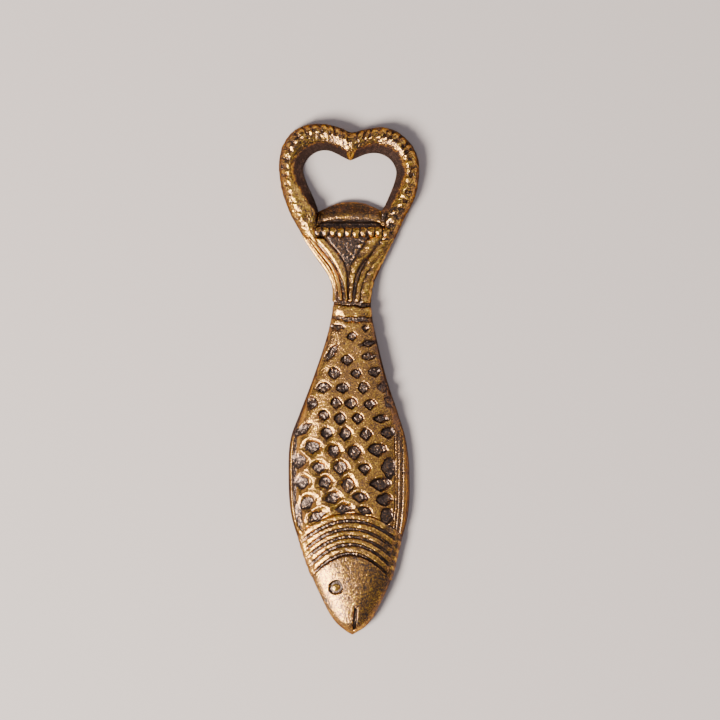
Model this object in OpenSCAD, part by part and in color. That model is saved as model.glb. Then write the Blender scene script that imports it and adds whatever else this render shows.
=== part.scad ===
// Fish-shaped bottle opener: a flat-backed brass casting whose tail is a heart-shaped loop.
// The nose points along -Y, the loop along +Y, the flat back lies on z = 0.

/* [Body] */
// Height of the crown of the body at the gills, above the flat back
body_crown = 7.6; // [7:0.1:9]
// Height of the crown of the body at the neck
neck_crown = 6.4; // [6:0.1:6.9]
// Depth below the back of the axis that the upper side is rolled about
roll_depth = 26; // [24:1:40]
// Height of the raised relief above its floor
relief_h = 0.9; // [0.5:0.1:1.1]

/* [Scale net] */
// Distance between two scale pockets of one row
scale_pitch_x = 6; // [5.4:0.1:7]
// Distance between two rows of scale pockets
scale_pitch_y = 4.4; // [4:0.1:5]
// Diagonal of one diamond pocket
pocket_diag = 3.9; // [3:0.1:4.2]

/* [Fins] */
// Width of the single ridge along the left edge
left_ridge_w = 0.9; // [0.7:0.1:1.4]
// Width of the outer ridge along the right edge
right_ridge_w = 1.7; // [1.2:0.1:1.8]

/* [Gill bands] */
// Bend radius of the first band, next to the scales
gill_r_first = 17.5; // [16:0.1:20]
// Bend radius of the last band, next to the head
gill_r_last = 13; // [12.6:0.1:15]

/* [Head] */
// Radius of the arc that divides the head from the gills
head_r = 11.8; // [11.6:0.1:13]
// Height of the crown of the head
head_crown = 7.5; // [6.5:0.1:8.5]
// Radius of the raised pupil
pupil_r = 1.2; // [0.8:0.1:1.4]
// Outer radius of the ring groove around the pupil
eye_r = 2.1; // [1.8:0.1:2.6]
// Length of the mouth slit
mouth_len = 5.8; // [4:0.1:7]

/* [Neck and tail] */
// Height of the collar around the neck
collar_crown = 6.8; // [6.5:0.1:7.4]
// Thickness of the plate that carries the tail rays
plate_t = 3.4; // [2.6:0.1:4]
// Height of the tops of the tail rays
ray_top = 5.3; // [4.6:0.1:5.8]

/* [Heart loop] */
// Radius of the rounded crest of the loop
crest_r = 2.6; // [2:0.1:2.8]
// Height of the top of the crest
crest_top = 6.4; // [5.8:0.1:7]
// Radius of the notches across the crest
notch_r = 0.45; // [0.3:0.05:0.6]
// Distance between two notches
notch_pitch = 2.1; // [1.6:0.1:3]

/* [Cap opening] */
// Thickness of the lip that hooks under the crown cap
lip_t = 2.6; // [2:0.1:3.2]
// Radius of the opening's left lobe
left_bay_r = 6.2; // [5.8:0.1:6.4]
// Radius of the opening's right lobe
right_bay_r = 6.1; // [5.8:0.1:6.3]
// Radius of one bead of the crossbar
bead_r = 1.3; // [1:0.05:1.4]

/* [Hidden] */

brass = "#b08a4a";
brass_dark = "#6b5032";
brass_light = "#c9a763";
tall = 20;
eps = 0.01;

// Stations along the fish, from the loop to the nose.
nose_y = -72.5;
neck_y = 17.6;
collar_end_y = 21.2;
ray_end_y = 39.9;
bar_y = 41.4;
lip_root_y = 44;

// Edges of the plan as [y, x] knots, from the shoulders of the tail to the nose.
LEFT = [
    [44, -15.44], [39.5, -12.8], [35, -9.7], [30, -6.3], [25.5, -4.6], [20, -4.9],
    [12, -6.6], [0, -10.6], [-10, -14.4], [-17, -16.9], [-26, -17.5], [-38, -16.8],
    [-48, -13.8], [-58, -10], [-66, -5.9], [-70, -2.5], [nose_y, 0],
];
RIGHT = [
    [44, 14.98], [39.5, 12.5], [35, 10.2], [30, 8], [25.5, 6.2], [20, 6],
    [12, 7.4], [0, 10.4], [-10, 13.7], [-17, 15.8], [-26, 16.8], [-38, 16.5],
    [-48, 14], [-58, 11.3], [-66, 7.2], [-70, 4.1], [nose_y, 1.2],
];
step_y = 2;

// Smooth edge through a list of knots: cubic pieces with slopes taken from the neighbours.
function piece(k, y, i = 0) = (i >= len(k) - 2 || y >= k[i + 1][0]) ? i : piece(k, y, i + 1);
function slope(k, i) =
    let (a = k[max(i - 1, 0)], b = k[min(i + 1, len(k) - 1)])
    (b[1] - a[1]) / (b[0] - a[0]);
function edge(k, y) =
    let (i = piece(k, y), h = k[i + 1][0] - k[i][0], t = (y - k[i][0]) / h)
    k[i][1] * (1 + 2 * t) * pow(1 - t, 2) + k[i + 1][1] * t * t * (3 - 2 * t)
    + slope(k, i) * h * t * pow(1 - t, 2) - slope(k, i + 1) * h * t * t * (1 - t);
function mix(a, b, t) = a + (b - a) * t;
function stations(a, b, step = step_y) =
    let (n = max(1, ceil(abs(b - a) / step)))
    [for (i = [0:n]) mix(a, b, i / n)];

// Height of the crown line of the body.
gill_y = -50;
function crown(y) = mix(neck_crown, body_crown, (neck_y - y) / (neck_y - gill_y));

// Plan of the fish between two stations.
module plan(top, bottom) {
    down = [for (y = stations(top, bottom)) [edge(LEFT, y), y]];
    up = [for (y = stations(bottom, top)) [edge(RIGHT, y), y]];
    polygon(concat(down, up));
}

// Strip that follows one edge, from one inset to another.
module edge_strip(k, side, from, to, top, bottom) {
    outer = [for (y = stations(top, bottom)) [edge(k, y) + side * from, y]];
    inner = [for (y = stations(bottom, top)) [edge(k, y) + side * to, y]];
    polygon(concat(outer, inner));
}

// Solid below the rolled upper side of the body, raised or lowered by a shift.
module rolled(shift = 0) {
    top = 26;
    bottom = -66;
    translate([0, top, -roll_depth])
        rotate([90, 0, 0])
            cylinder(
                h = top - bottom,
                r1 = roll_depth + crown(top) + shift,
                r2 = roll_depth + crown(bottom) + shift,
                $fn = 180
            );
}

// Relief: a layer of even height that lies on the rolled floor and has the plan of its child.
module relief() {
    intersection() {
        linear_extrude(tall) children();
        difference() {
            rolled();
            rolled(-relief_h);
        }
    }
}

// Body and scales.
head_y = -50.1;
module head_disc() {
    translate([0, head_y - head_r]) circle(r = head_r, $fn = 120);
}

module trunk() {
    color(brass_dark)
        intersection() {
            linear_extrude(tall)
                difference() {
                    plan(neck_y, -64);
                    head_disc();
                }
            rolled(-relief_h);
        }
}

left_fin_span = [-16, -45];
right_fin_span = [-14.5, -46];
field_w = 1.3;
right_groove_w = 0.8;
right_fin_w = right_ridge_w + 3 * right_groove_w + 2 * 0.75;

module scale_pockets() {
    rows = 13;
    first_y = 14;
    side = pocket_diag / sqrt(2);
    for (k = [0:rows - 1]) {
        y = first_y - scale_pitch_y * k;
        shift = k % 2 == 0 ? 0.5 : 0;
        left = edge(LEFT, y) + (y < left_fin_span[0] ? left_ridge_w + field_w : 0) + 1.9;
        right = edge(RIGHT, y) - (y < right_fin_span[0] ? right_fin_w : 0) - 1.9;
        for (j = [-3:3]) {
            x = 0.3 + scale_pitch_x * (j + shift);
            if (x > left && x < right)
                translate([x, y]) rotate(45) square(side, center = true);
        }
    }
}

module scale_net() {
    color(brass)
        relief()
            difference() {
                plan(neck_y - 0.6, -50);
                gill_disc(0, gill_half(0));
                edge_strip(LEFT, 1, -1, left_ridge_w + field_w, left_fin_span[0], left_fin_span[1] - 2);
                edge_strip(RIGHT, -1, -1, right_fin_w, right_fin_span[0], right_fin_span[1] - 2);
                scale_pockets();
            }
}

// Fins: ridges that run along both edges of the body.
module left_fin() {
    color(brass_light)
        relief()
            difference() {
                edge_strip(LEFT, 1, 0, left_ridge_w, left_fin_span[0], left_fin_span[1]);
                gill_disc(0, gill_half(0));
            }
}

module right_fin() {
    thin_w = 0.75;
    first = right_ridge_w + right_groove_w;
    second = first + thin_w + right_groove_w;
    color(brass_light)
        relief()
            difference() {
                union() {
                    edge_strip(RIGHT, -1, 0, right_ridge_w, right_fin_span[0], right_fin_span[1]);
                    edge_strip(RIGHT, -1, first, first + thin_w, right_fin_span[0], right_fin_span[1]);
                    edge_strip(RIGHT, -1, second, second + thin_w, right_fin_span[0], right_fin_span[1]);
                }
                gill_disc(0, gill_half(0));
            }
}

// Gill bands: raised arcs, each with its own bend radius, between the scales and the head.
GILL_Y = [-38.9, -41.7, -43.6, -45.7, -48.1];
GILL_W = [1.8, 1.1, 1, 1.2, 1.5];
function gill_r(i) = mix(gill_r_first, gill_r_last, i / (len(GILL_Y) - 1));
function gill_half(i) = GILL_W[i] / 2;

module gill_disc(i, grow) {
    translate([0, GILL_Y[i] - gill_r(i)]) circle(r = gill_r(i) + grow, $fn = 120);
}

module gill_band(i) {
    centre_y = GILL_Y[i] - gill_r(i);
    color(brass)
        relief()
            intersection() {
                plan(-36, -64);
                difference() {
                    gill_disc(i, gill_half(i));
                    gill_disc(i, -gill_half(i));
                }
                translate([-30, centre_y]) square([60, 40]);
            }
}

// Head: a dome that falls to the nose, with a ring groove for the eye and a slit for the mouth.
EYE = [-3.8, -58.9];
head_depth = 14;
eye_groove = 0.7;
pupil_h = 0.5;
mouth_w = 0.9;
mouth_depth = 1.4;
function head_z(x, y) =
    let (r = head_depth + head_crown - nose_arc_r + sqrt(pow(nose_arc_r, 2) - pow(y - head_y, 2)))
    sqrt(r * r - x * x) - head_depth;
nose_drop = 4.6;
nose_arc_r = (pow(nose_drop, 2) + pow(nose_y - head_y, 2)) / (2 * nose_drop);

module head_dome() {
    top = -48;
    translate([0, 0, -head_depth])
        rotate([90, 0, 0])
            rotate_extrude($fn = 180)
                intersection() {
                    translate([head_depth + head_crown - nose_arc_r, -head_y])
                        circle(r = nose_arc_r, $fn = 180);
                    translate([0, -top]) square([head_depth + head_crown + 1, top - nose_y + 1]);
                }
}

module head() {
    eye_z = head_z(EYE[0], EYE[1]);
    mouth_top_y = -65;
    color(brass_light)
        difference() {
            intersection() {
                linear_extrude(tall)
                    intersection() {
                        plan(-48, nose_y);
                        head_disc();
                    }
                head_dome();
            }
            translate([EYE[0], EYE[1], eye_z - eye_groove])
                cylinder(r = eye_r, h = tall, $fn = 48);
            translate([1.2, mouth_top_y - mouth_len / 2, head_z(1, mouth_top_y) - mouth_depth])
                rotate(-6)
                    translate([-mouth_w / 2, -mouth_len / 2, 0])
                        cube([mouth_w, mouth_len, tall]);
        }
}

module eye() {
    eye_z = head_z(EYE[0], EYE[1]);
    dome_r = (pow(pupil_r, 2) + pow(pupil_h, 2)) / (2 * pupil_h);
    color(brass_light)
        translate([EYE[0], EYE[1], eye_z - eye_groove])
            intersection() {
                cylinder(r = pupil_r, h = tall, $fn = 48);
                translate([0, 0, eye_groove + pupil_h - dome_r]) sphere(r = dome_r, $fn = 48);
            }
}

// Collar: a smooth band around the neck, between the tail rays and the scales.
module neck_collar() {
    low = roll_depth + collar_crown - 1.3;
    high = roll_depth + collar_crown;
    bevel = 0.5;
    color(brass)
        intersection() {
            linear_extrude(tall) plan(collar_end_y, neck_y);
            translate([0, 0, -roll_depth])
                rotate([-90, 0, 0])
                    rotate_extrude($fn = 180)
                        polygon([
                            [0, neck_y], [low, neck_y], [high, neck_y + bevel],
                            [high, collar_end_y - bevel], [low, collar_end_y], [0, collar_end_y],
                        ]);
        }
}

// Tail: a plate that widens into the shoulders, with raised rays that fan out over it.
ARM_LEFT = [14, 61, 34];
ARM_RIGHT = [-8, 60, 28];
arm_left_sweep = asin((ARM_LEFT[1] - lip_root_y) / ARM_LEFT[2]);
arm_right_sweep = asin((ARM_RIGHT[1] - lip_root_y) / ARM_RIGHT[2]);
loop_w = 7;
lip_x = 9;
function on_arc(c, a, inset) = [c[0] + (c[2] - inset) * cos(a), c[1] + (c[2] - inset) * sin(a)];
corner_left = on_arc(ARM_LEFT, 180 + arm_left_sweep, loop_w);
corner_right = on_arc(ARM_RIGHT, -arm_right_sweep, loop_w);

module tail_plate() {
    down = [for (y = stations(lip_root_y, collar_end_y)) [edge(LEFT, y), y]];
    up = [for (y = stations(collar_end_y, lip_root_y)) [edge(RIGHT, y), y]];
    root = [corner_right, [lip_x, lip_root_y], [-lip_x, lip_root_y], corner_left];
    color(brass_dark)
        linear_extrude(plate_t) polygon(concat(down, up, root));
}

// Inner line of each half of the fan: a centre groove that opens into the throat.
throat_x = 0.2;
throat_apex_y = 33;
THROAT = [-6.3, 5.2];
function fan_root(side, y) =
    y < throat_apex_y
        ? throat_x
        : mix(throat_x, THROAT[side], (y - throat_apex_y) / (ray_end_y - throat_apex_y));

// Each ray lies between two fractions of the way from the inner line to the edge.
module ray(side, from, to) {
    k = side == 0 ? LEFT : RIGHT;
    ys = stations(collar_end_y, ray_end_y);
    inner = [for (y = ys) [mix(fan_root(side, y), edge(k, y), from), y]];
    outer = [for (i = [len(ys) - 1:-1:0]) [mix(fan_root(side, ys[i]), edge(k, ys[i]), to), ys[i]]];
    polygon(concat(inner, outer));
}

module tail_rays(side, bounds) {
    color(brass)
        translate([0, 0, plate_t])
            linear_extrude(ray_top - plate_t)
                for (b = bounds)
                    ray(side, b[0], b[1]);
}

module tail_rays_left() {
    tail_rays(0, [[0.05, 0.3], [0.38, 0.54], [0.62, 0.76], [0.83, 1]]);
}

module tail_rays_right() {
    tail_rays(1, [[0.05, 0.36], [0.46, 0.72], [0.81, 1]]);
}

// Throat: a rough, thin panel on the plate, inside the V of the fan.
module throat_panel() {
    panel_t = 0.4;
    inset = 0.6;
    color(brass_dark)
        translate([0, 0, plate_t])
            linear_extrude(panel_t)
                polygon([
                    [THROAT[0] + inset, ray_end_y], [throat_x, throat_apex_y + inset],
                    [THROAT[1] - inset, ray_end_y],
                ]);
}

// Crossbar of beads between the shoulders.
bead_pitch = 2.15;
bead_count = 10;
bar_x = [-9.6, 11.2];
module bead_bar() {
    first_x = -9.05;
    rod_r = 0.95;
    bead_z = plate_t + 1.1;
    color(brass_light)
        intersection() {
            union() {
                translate([bar_x[0], bar_y, bead_z])
                    rotate([0, 90, 0])
                        cylinder(r = rod_r, h = bar_x[1] - bar_x[0], $fn = 48);
                for (i = [0:bead_count - 1])
                    translate([first_x + bead_pitch * i, bar_y, bead_z]) sphere(r = bead_r, $fn = 48);
            }
            translate([bar_x[0], bar_y - 5, plate_t]) cube([bar_x[1] - bar_x[0], 10, tall]);
        }
}

// Lip: a half-moon tongue that reaches into the opening, with a crescent ridge at its root.
module cap_lip() {
    lip_r = 17.9;
    lip_top_y = 50.3;
    ridge_r = 15;
    ridge_top_y = 46.6;
    ridge_h = 1.5;
    color(brass_dark)
        linear_extrude(lip_t)
            intersection() {
                translate([0, lip_top_y - lip_r]) circle(r = lip_r, $fn = 180);
                polygon([
                    [-lip_x, lip_root_y], corner_left, [corner_left[0], 52],
                    [corner_right[0], 52], corner_right, [lip_x, lip_root_y],
                ]);
            }
    color(brass)
        translate([0, 0, lip_t - eps])
            linear_extrude(ridge_h)
                intersection() {
                    translate([0, ridge_top_y - ridge_r]) circle(r = ridge_r, $fn = 180);
                    translate([-lip_x + 1, lip_root_y + 0.1]) square([2 * lip_x - 2, 5]);
                }
}

// Opening that takes the crown cap: two round bays, a cusp between them and the lip below.
LEFT_BAY = [-7, 58.8];
RIGHT_BAY = [7, 58.4];
cleft_x = 0.3;
CUSP = [cleft_x, 62.1];
module opening() {
    translate(LEFT_BAY) circle(r = left_bay_r, $fn = 96);
    translate(RIGHT_BAY) circle(r = right_bay_r, $fn = 96);
    polygon([
        LEFT_BAY - [left_bay_r * cos(7), left_bay_r * sin(7)], corner_left,
        corner_right, RIGHT_BAY + [right_bay_r * cos(7), -right_bay_r * sin(7)], RIGHT_BAY,
        RIGHT_BAY + right_bay_r * [cos(120), sin(120)], CUSP,
        LEFT_BAY + left_bay_r * [cos(60), sin(60)], LEFT_BAY,
    ]);
}

// Section of the loop: x is the distance in from the outer edge, y the height.
module loop_section() {
    crest_z = crest_top - crest_r;
    flank = 40;
    foot_z = 1.6;
    top = [crest_r + crest_r * cos(flank), crest_z + crest_r * sin(flank)];
    foot_x = top[0] + (top[1] - foot_z) * tan(flank);
    translate([crest_r, crest_z]) circle(r = crest_r, $fn = 64);
    polygon([
        [0, 0], [0, crest_z], [crest_r, crest_z], top,
        [foot_x, foot_z], [foot_x, 0],
    ]);
}

// Curved stretch of the loop, with a notch across the crest at every pitch.
module loop_arc(c, start, sweep) {
    r = c[2];
    count = floor(sweep * PI / 180 * (r - crest_r) / notch_pitch);
    translate([c[0], c[1], 0])
        rotate(start)
            difference() {
                rotate_extrude(angle = sweep, $fn = 180)
                    translate([r, 0]) mirror([1, 0]) loop_section();
                for (i = [0:count - 1])
                    rotate(sweep * (i + 0.5) / count) notch(r);
            }
}

module notch(r) {
    notch_in = 1.5;
    notch_drop = 0.55;
    lean = 60;
    translate([r - notch_in, 0, crest_top - notch_drop])
        rotate([0, -lean, 0])
            cylinder(r = notch_r, h = 4, center = true, $fn = 24);
}

// Shoulder: the raised end of an arm that stands on the tail plate.
shoulder_top = 5.8;
module shoulder(k, corner, x_lip, x_bar) {
    rim = [for (y = stations(lip_root_y, ray_end_y)) [edge(k, y), y]];
    lap = (corner - rim[0]) / norm(corner - rim[0]) * 0.2;
    over = [-sign(x_lip) * lap[1], abs(lap[0])];
    translate([0, 0, plate_t])
        linear_extrude(shoulder_top - plate_t)
            polygon(concat(
                rim,
                [[x_bar, ray_end_y], [x_bar, lip_root_y - 1], [x_lip, lip_root_y], corner],
                [corner - lap + over, rim[0] + lap + over]
            ));
}

module loop_arm_left() {
    color(brass) {
        difference() {
            loop_arc(ARM_LEFT, 180, arm_left_sweep);
            translate([0, 0, -eps]) linear_extrude(tall) opening();
        }
        shoulder(LEFT, corner_left, -lip_x, bar_x[0]);
    }
}

module loop_arm_right() {
    color(brass) {
        difference() {
            loop_arc(ARM_RIGHT, -arm_right_sweep, arm_right_sweep);
            translate([0, 0, -eps]) linear_extrude(tall) opening();
        }
        shoulder(RIGHT, corner_right, lip_x, bar_x[1]);
    }
}

// Lobes of the heart: a rounded corner and a straight brow that meets the other one at the cleft.
LOBE_LEFT = [-8.5, 61, 11.5];
LOBE_RIGHT = [8.6, 60, 11.4];
brow_slope = [16, 14];
CUSP_BASE = [[-2.7, 66.4], [3.1, 66.1]];

// Lobe on the left-hand side: its arc ends at the slope, and the brow leaves it along the tangent.
module lobe(c, slope) {
    brow_len = 9;
    loop_arc(c, 90 - slope, 90 + slope);
    translate([c[0], c[1], 0])
        rotate(90 - slope)
            translate([c[2], 0, 0])
                rotate([90, 0, 0])
                    linear_extrude(brow_len) mirror([1, 0]) loop_section();
}

module lobe_cuts() {
    translate([0, 0, -eps])
        linear_extrude(tall) {
            opening();
            polygon([CUSP_BASE[0], CUSP_BASE[1], CUSP]);
        }
}

module loop_lobe_left() {
    color(brass)
        difference() {
            lobe(LOBE_LEFT, brow_slope[0]);
            translate([cleft_x, 50, -1]) cube([20, 30, tall]);
            lobe_cuts();
        }
}

module loop_lobe_right() {
    color(brass)
        difference() {
            mirror([1, 0, 0]) lobe([-LOBE_RIGHT[0], LOBE_RIGHT[1], LOBE_RIGHT[2]], brow_slope[1]);
            translate([cleft_x - 20, 50, -1]) cube([20, 30, tall]);
            lobe_cuts();
        }
}

// Cusp: the raised point between the lobes, which presses on top of the crown cap.
module loop_cusp() {
    cusp_top = 5.6;
    fall = 22;
    color(brass_light)
        difference() {
            linear_extrude(cusp_top) polygon([CUSP_BASE[0], CUSP_BASE[1], CUSP]);
            translate([-10, CUSP_BASE[0][1] - 1.6, cusp_top])
                rotate([fall, 0, 0])
                    translate([0, -20, 0]) cube([20, 20, 10]);
        }
}

trunk();
scale_net();
left_fin();
right_fin();
gill_band(0);  // gill_band_1
gill_band(1);  // gill_band_2
gill_band(2);  // gill_band_3
gill_band(3);  // gill_band_4
gill_band(4);  // gill_band_5
head();
eye();
neck_collar();
tail_plate();
tail_rays_left();
tail_rays_right();
throat_panel();
bead_bar();
cap_lip();
loop_arm_left();
loop_arm_right();
loop_lobe_left();
loop_lobe_right();
loop_cusp();
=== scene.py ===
"""Fish-shaped bottle opener in aged cast brass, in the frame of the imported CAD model.

Lengths are in millimetres until a mesh is made: the fish lies on z = 0 with its nose along -Y.
"""
import math

import bmesh
import bpy
import numpy as np
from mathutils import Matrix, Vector


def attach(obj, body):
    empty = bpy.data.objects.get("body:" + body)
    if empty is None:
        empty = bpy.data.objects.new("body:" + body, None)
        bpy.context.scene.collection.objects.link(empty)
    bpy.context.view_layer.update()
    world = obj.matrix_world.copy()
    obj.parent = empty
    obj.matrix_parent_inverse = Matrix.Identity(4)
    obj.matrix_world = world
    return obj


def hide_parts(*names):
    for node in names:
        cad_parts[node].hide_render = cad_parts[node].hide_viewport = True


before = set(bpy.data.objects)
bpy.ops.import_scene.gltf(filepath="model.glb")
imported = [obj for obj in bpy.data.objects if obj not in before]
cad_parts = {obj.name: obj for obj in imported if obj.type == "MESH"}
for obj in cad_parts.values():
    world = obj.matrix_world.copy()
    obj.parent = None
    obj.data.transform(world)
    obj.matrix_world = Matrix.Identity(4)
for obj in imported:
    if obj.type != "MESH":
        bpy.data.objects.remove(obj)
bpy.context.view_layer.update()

MM = 0.001            # a millimetre in the metres of the frame
RELIEF = 0.9          # height of the scales and bands above the floor of the body
TUCK = 0.15           # how far a raised piece's border dips below the floor it stands on
ROOT = 0.5            # how far a raised piece's hidden underside lies below that floor
rng = np.random.default_rng(7)     # drawn from by the notches of the loop first, then by the beads


# ---------------------------------------------------------------- numbers and noise

def smooth(a, b, x):
    """Smooth step from 0 at a to 1 at b."""
    t = np.clip((x - a) / (b - a), 0, 1)
    return t * t * (3 - 2 * t)


def mix(a, b, t):
    return a + (b - a) * t


def through(knots, x):
    """Cubic through (x, value) knots, with slopes taken from the neighbouring knots."""
    knots = np.array(sorted(knots), float)
    kx, kv = knots[:, 0], knots[:, 1:]
    slope = np.empty_like(kv)
    slope[1:-1] = (kv[2:] - kv[:-2]) / (kx[2:] - kx[:-2])[:, None]
    slope[0] = (kv[1] - kv[0]) / (kx[1] - kx[0])
    slope[-1] = (kv[-1] - kv[-2]) / (kx[-1] - kx[-2])
    x = np.asarray(x, float)
    i = np.clip(np.searchsorted(kx, x) - 1, 0, len(kx) - 2)
    h = kx[i + 1] - kx[i]
    t = np.clip((x - kx[i]) / h, 0, 1)[..., None]
    h = h[..., None]
    out = (kv[i] * (1 + 2 * t) * (1 - t) ** 2 + kv[i + 1] * t * t * (3 - 2 * t)
           + slope[i] * h * t * (1 - t) ** 2 - slope[i + 1] * h * t * t * (1 - t))
    return out[..., 0] if out.shape[-1] == 1 else out


def lattice(i, j, seed):
    """Fixed random value from -1 to 1 for each whole-number cell."""
    mask = np.int64(0x7FFFFFFF)
    h = (i.astype(np.int64) * 73856093) ^ (j.astype(np.int64) * 19349663) ^ np.int64(seed * 83492791)
    h = (h & mask) * 1103515245 + 12345
    h = ((h >> 9) & mask) * 69069 + 1
    return ((h >> 7) & 0xFFFF) / 32767.5 - 1


def noise(x, y, size, seed):
    """Smooth value noise whose lumps are about one size across; each seed is another pattern."""
    turn = 0.6 + seed
    c, s = math.cos(turn), math.sin(turn)
    u, v = (x * c - y * s) / size, (x * s + y * c) / size
    i, j = np.floor(u), np.floor(v)
    a, b = u - i, v - j
    a, b = a * a * (3 - 2 * a), b * b * (3 - 2 * b)
    low = mix(lattice(i, j, seed), lattice(i + 1, j, seed), a)
    high = mix(lattice(i, j + 1, seed), lattice(i + 1, j + 1, seed), a)
    return mix(low, high, b)


def grain(x, y, seed):
    """Texture of sand-cast metal: three sizes of lumps."""
    return (0.5 * noise(x, y, 0.9, seed) + 0.35 * noise(x, y, 0.45, seed + 1)
            + 0.25 * noise(x, y, 0.25, seed + 2))


# ---------------------------------------------------------------- plan of the fish

NOSE_Y = -72.5
NECK_Y = 17.4         # lower border of the collar
COLLAR_Y = 21.2       # upper border of the collar
SHOULDER_Y = 44.0     # where the tail plate ends under the loop
# Knots (y, x) of the two edges, (y, height) of the floor's middle and (y, bend) of the rows.
LEFT = [(44, -15.4), (39.5, -12.8), (35, -9.7), (30, -6.3), (25.5, -4.6), (20, -4.9), (12, -6.6),
        (0, -10.6), (-10, -14.4), (-17, -16.9), (-26, -17.5), (-38, -16.8), (-48, -13.8),
        (-58, -10), (-66, -5.9), (-70, -2.5), (-71.7, -0.9), (NOSE_Y, 0.4)]
RIGHT = [(44, 14.6), (39.5, 12.5), (35, 10.2), (30, 8), (25.5, 6.2), (20, 6), (12, 7.4),
         (0, 10.4), (-10, 13.7), (-17, 15.8), (-26, 16.8), (-38, 16.5), (-48, 14),
         (-58, 11.3), (-66, 7.2), (-70, 4.1), (-71.7, 2.1), (NOSE_Y, 0.9)]
FLOOR = [(SHOULDER_Y, 3.6), (41, 4.1), (30, 4.4), (22, 5.0), (17, 5.5), (0, 6.0), (-20, 6.5), (-45, 6.6),
         (-50, 6.55), (-57, 6.3), (-64, 5.6), (-69, 4.4), (-71.5, 3.3), (NOSE_Y, 2.4)]
BOW = [(COLLAR_Y, 0), (-18, 0), (-30, 0.012), (-38.1, 0.028), (-44.6, 0.042), (-49.4, 0.055),
       (-56, 0.05), (-64, 0.03), (NOSE_Y, 0)]
RIM_WALL = 1.4        # height of the upright wall at the edge of the back
RIM_ROUND = 0.35      # rounding between that wall and the back
BACK_COLUMNS = 14     # columns of the mesh across the flat back
BACK_WEAR = 0.45


def left_edge(y):
    return through(LEFT, y)


def right_edge(y):
    return through(RIGHT, y)


def across(x, y):
    """Place across the fish: -1 on the left edge, 1 on the right edge."""
    l, r = left_edge(y), right_edge(y)
    return (x - (l + r) / 2) / ((r - l) / 2)


def fullness(y):
    """Exponent of the section: boxier on the tail, rounder on the body."""
    return 2.45 + 2.7 * smooth(-24, 2, y)


def level(x, y, z):
    """1 on the floor surface, less inside it and more outside."""
    return (z / through(FLOOR, y)) ** 2 + np.abs(across(x, y)) ** fullness(y)


def on_floor(x, y, lift):
    """Points above (x, y) on the floor surface of the fish, moved out along its normal by lift."""
    u = np.clip(np.abs(across(x, y)), 0, 1)
    top = through(FLOOR, y)
    z = top * np.sqrt(np.clip(1 - u ** fullness(y), 0, 1))
    e = 0.02
    gx = (level(x + e, y, z) - level(x - e, y, z)) / (2 * e)
    gy = (level(x, y + e, z) - level(x, y - e, z)) / (2 * e)
    gz = 2 * z / top ** 2
    size = np.sqrt(gx ** 2 + gy ** 2 + gz ** 2)
    z_up = RIM_WALL + z * (1 - RIM_WALL / top)
    return np.stack([x + lift * gx / size, y + lift * gy / size, z_up + lift * gz / size], -1)


def bow_y(v, x):
    """Rows of the body bend with the gill bands: y of row v at x."""
    return v - through(BOW, v) * x * x


def row_end(v, edge):
    """x where a bent row meets one edge of the plan."""
    x = edge(v)
    for _ in range(60):
        x = mix(x, edge(np.maximum(bow_y(v, x), NOSE_Y)), 0.4)
    return x


def body_grid(v, columns, inset=0.0):
    """x and y of a grid of bent rows, closer together near the edges."""
    a = (1 - np.cos(np.linspace(0, math.pi, columns))) / 2
    lo, hi = row_end(v, left_edge) + inset, row_end(v, right_edge) - inset
    x = mix(lo[:, None], hi[:, None], a[None, :])
    return x, bow_y(v[:, None], x)


# ---------------------------------------------------------------- meshes

def face_outward(mesh):
    """Winds the faces of each closed shell so that their normals point out of the metal."""
    shells = bmesh.new()
    shells.from_mesh(mesh)
    bmesh.ops.recalc_face_normals(shells, faces=shells.faces)
    shells.to_mesh(mesh)
    shells.free()


def new_piece(name, verts, faces, wear_and_shade, node, material, grit=0.5):
    """Mesh object of one piece, in metres, that stands for one CAD node."""
    mesh = bpy.data.meshes.new(name)
    mesh.from_pydata((np.asarray(verts) * MM).tolist(), [], faces)
    mesh.validate()
    face_outward(mesh)
    mesh.update()
    layer = mesh.attributes.new("wear_and_shade", "FLOAT", "POINT")
    layer.data.foreach_set("value", np.asarray(wear_and_shade, np.float32))
    layer = mesh.attributes.new("grit", "FLOAT", "POINT")
    layer.data.foreach_set("value", np.ascontiguousarray(np.broadcast_to(grit, len(verts)), np.float32))
    mesh.polygons.foreach_set("use_smooth", [True] * len(mesh.polygons))
    piece = bpy.data.objects.new(name, mesh)
    bpy.context.collection.objects.link(piece)
    piece.data.materials.append(material)
    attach(piece, "root")
    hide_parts(node)


def border_steps(count):
    """How many steps each of a row of points is from the nearer end of the row."""
    return np.minimum(np.arange(count), np.arange(count)[::-1])


def ring_faces(rows, n):
    """Quads of a tube of closed rings."""
    j, i = np.meshgrid(np.arange(rows - 1), np.arange(n), indexing="ij")
    k = (i + 1) % n
    quads = np.stack([j * n + i, j * n + k, (j + 1) * n + k, (j + 1) * n + i], -1)
    return quads.reshape(-1, 4).tolist()


def bent_end(ring, relief, first):
    """Triangles from the relief side of a body section down to its back, so that a bent end stays bent."""
    upper = list(range(relief))
    lower = [0] + list(range(len(ring) - 1, relief - 2, -1))
    faces, i, j = [], 0, 0
    while i + 1 < len(upper) or j + 1 < len(lower):
        last = j + 1 == len(lower)
        on_top = i + 1 < len(upper) and (last or ring[upper[i + 1], 0] < ring[lower[j + 1], 0])
        corner = upper[i + 1] if on_top else lower[j + 1]
        if len({upper[i], lower[j], corner}) == 3:
            faces.append([first + upper[i], first + lower[j], first + corner])
        i, j = i + on_top, j + (not on_top)
    return faces


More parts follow.
